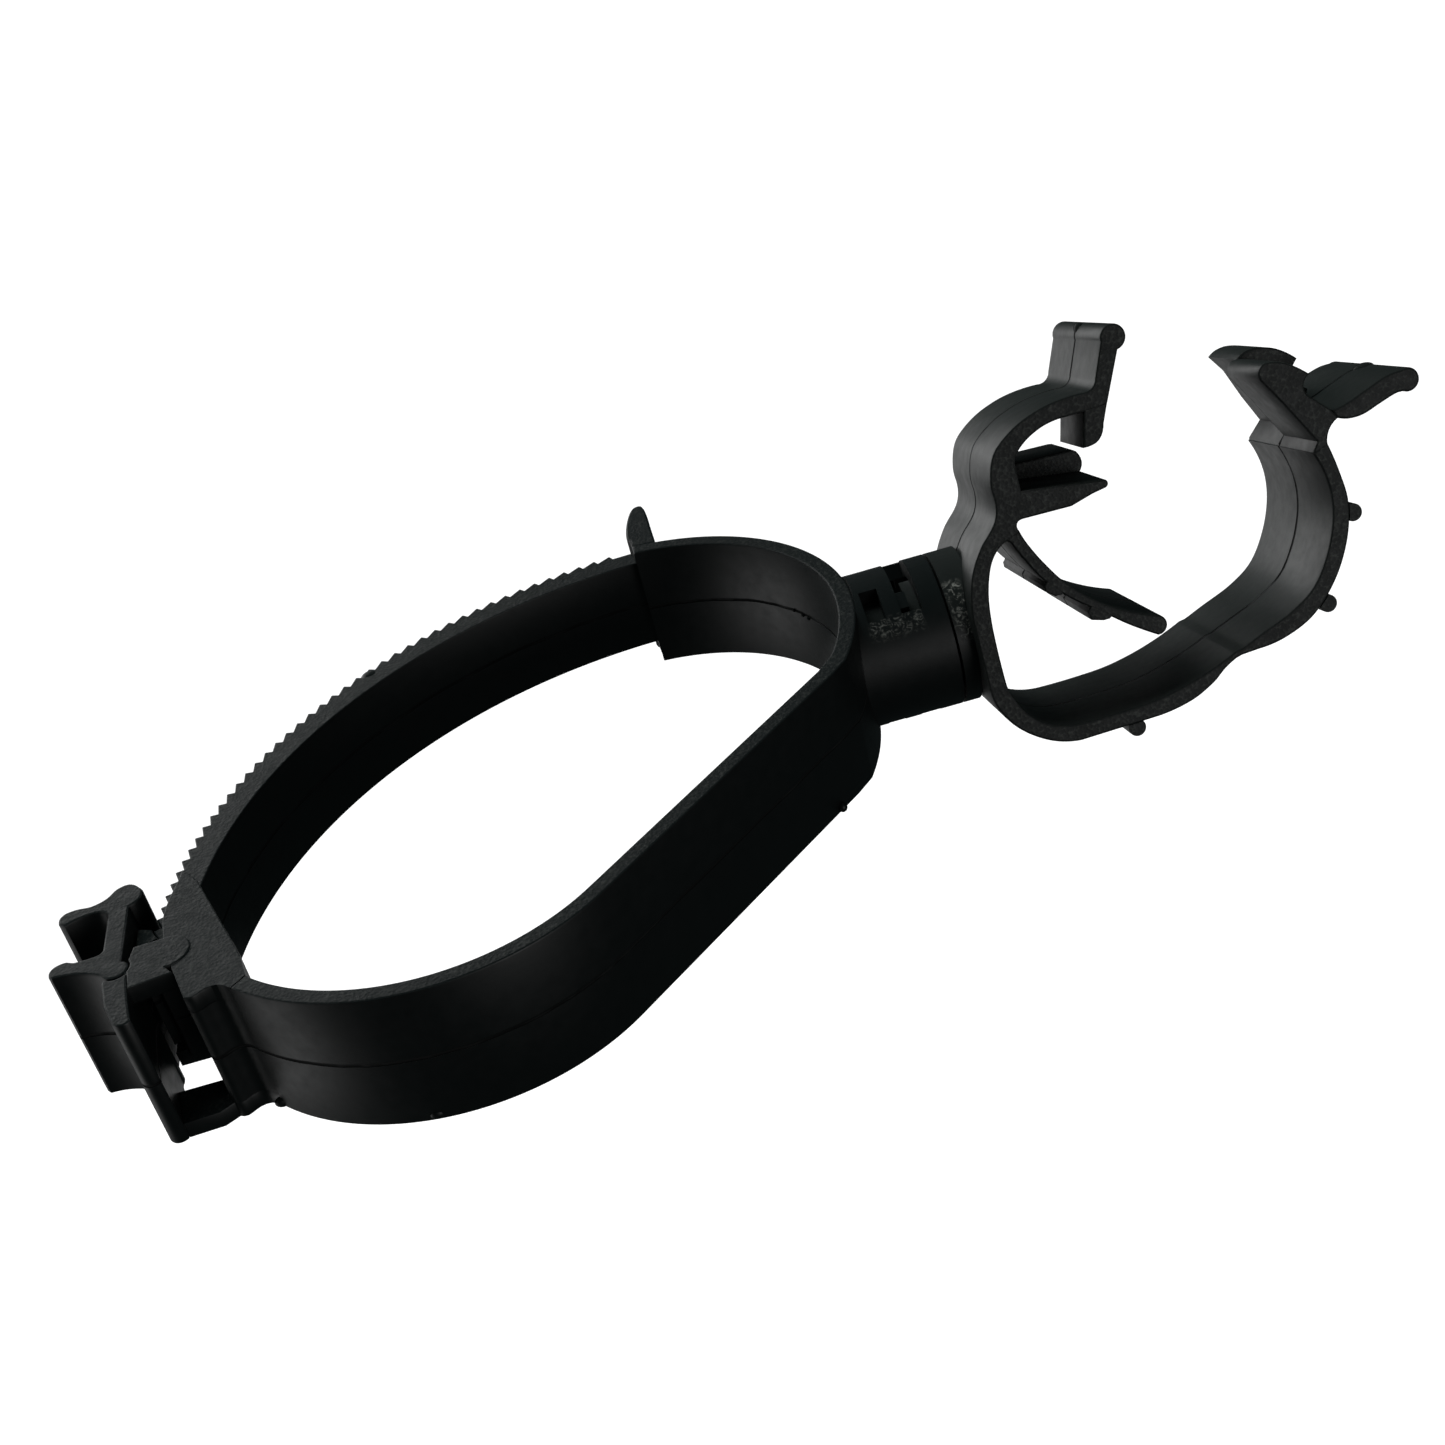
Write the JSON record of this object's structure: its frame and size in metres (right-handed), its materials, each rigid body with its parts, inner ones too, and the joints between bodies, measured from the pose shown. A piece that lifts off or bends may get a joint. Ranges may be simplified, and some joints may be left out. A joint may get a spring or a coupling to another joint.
{
  "type": "twin hose clip",
  "caption": "Twin plastic clip: a ratchet strap loop with a release lever, joined by a snap-in swivel to a hinged snap clip with a sprung finger.",
  "frame": {"origin": "on the axis of the largest pipe that the strap loop holds, at mid-width of the strap", "axes": "+X from the loop towards the snap clip along the swivel axis, +Z along the pipe in the loop, across the width of the strap, +Y towards the side of the loop with the closing tab"},
  "size_m": [0.1561, 0.0859, 0.05],
  "materials": {
    "loop_plastic": "black polyamide, satin on the extruded faces and spark-eroded on the side faces",
    "clip_plastic": "black polyamide, satin on the extruded faces and spark-eroded on the side faces"
  },
  "bodies": {
    "strap": {"upper_band": "loop_plastic", "strap_saddle": "loop_plastic", "swivel_socket": "loop_plastic", "snap_lugs": "loop_plastic", "closing_tab": "loop_plastic", "toothed_tail": "loop_plastic"},
    "latch": {"lower_band": "loop_plastic", "head_anvil": "loop_plastic", "near_bridge": "loop_plastic", "near_cheek": "loop_plastic", "far_cheek": "loop_plastic", "outer_wall": "loop_plastic"},
    "lever": {"lever_web": "loop_plastic", "lever_arm": "loop_plastic", "thumb_plate": "loop_plastic", "pawl": "loop_plastic"},
    "swivel": {"clip_back": "clip_plastic", "swivel_flange": "clip_plastic", "swivel_spigot": "clip_plastic", "catch_arm": "clip_plastic", "catch_bead": "clip_plastic", "catch_hook": "clip_plastic", "catch_tongue": "clip_plastic", "tongue_block": "clip_plastic", "lower_jaw": "clip_plastic", "living_hinge": "clip_plastic", "jaw_rib": "clip_plastic"},
    "finger": {"spring_finger": "clip_plastic", "finger_ribs": "clip_plastic"},
    "jaw": {"closing_jaw": "clip_plastic", "hook_near": "clip_plastic", "hook_far": "clip_plastic", "release_tail": "clip_plastic", "release_bead": "clip_plastic", "jaw_ribs": "clip_plastic"}
  },
  "joints": [
    {"name": "strap_click", "type": "hinge", "parent": "strap", "child": "latch", "pos_m": [0.0185, -0.0202, 0], "axis": [0, 0, -1], "range_deg": [0, 1.95]},
    {"name": "lever_lift", "type": "hinge", "parent": "latch", "child": "lever", "pos_m": [-0.0427, -0.0231, 0], "axis": [0, 0, 1], "range_deg": [0, 15.6], "stiffness_Nm_per_rad": 0.005},
    {"name": "swivel_turn", "type": "hinge", "parent": "strap", "child": "swivel", "pos_m": [0.05, 0.0095, 0], "axis": [1, 0, 0], "continuous": true},
    {"name": "finger_flex", "type": "hinge", "parent": "swivel", "child": "finger", "pos_m": [0.0589, 0.01285, 0.00921], "axis": [0, -0.9397, 0.342], "range_deg": [-12, 0], "stiffness_Nm_per_rad": 0.005},
    {"name": "jaw_close", "type": "hinge", "parent": "swivel", "child": "jaw", "pos_m": [0.0806, 0.0062, -0.00907], "axis": [0, -0.9397, 0.342], "range_deg": [0, 31], "stiffness_Nm_per_rad": 0.005}
  ],
  "couplings": [
    {"joint": "lever_lift", "follows": "strap_click", "ratio": 8}
  ]
}
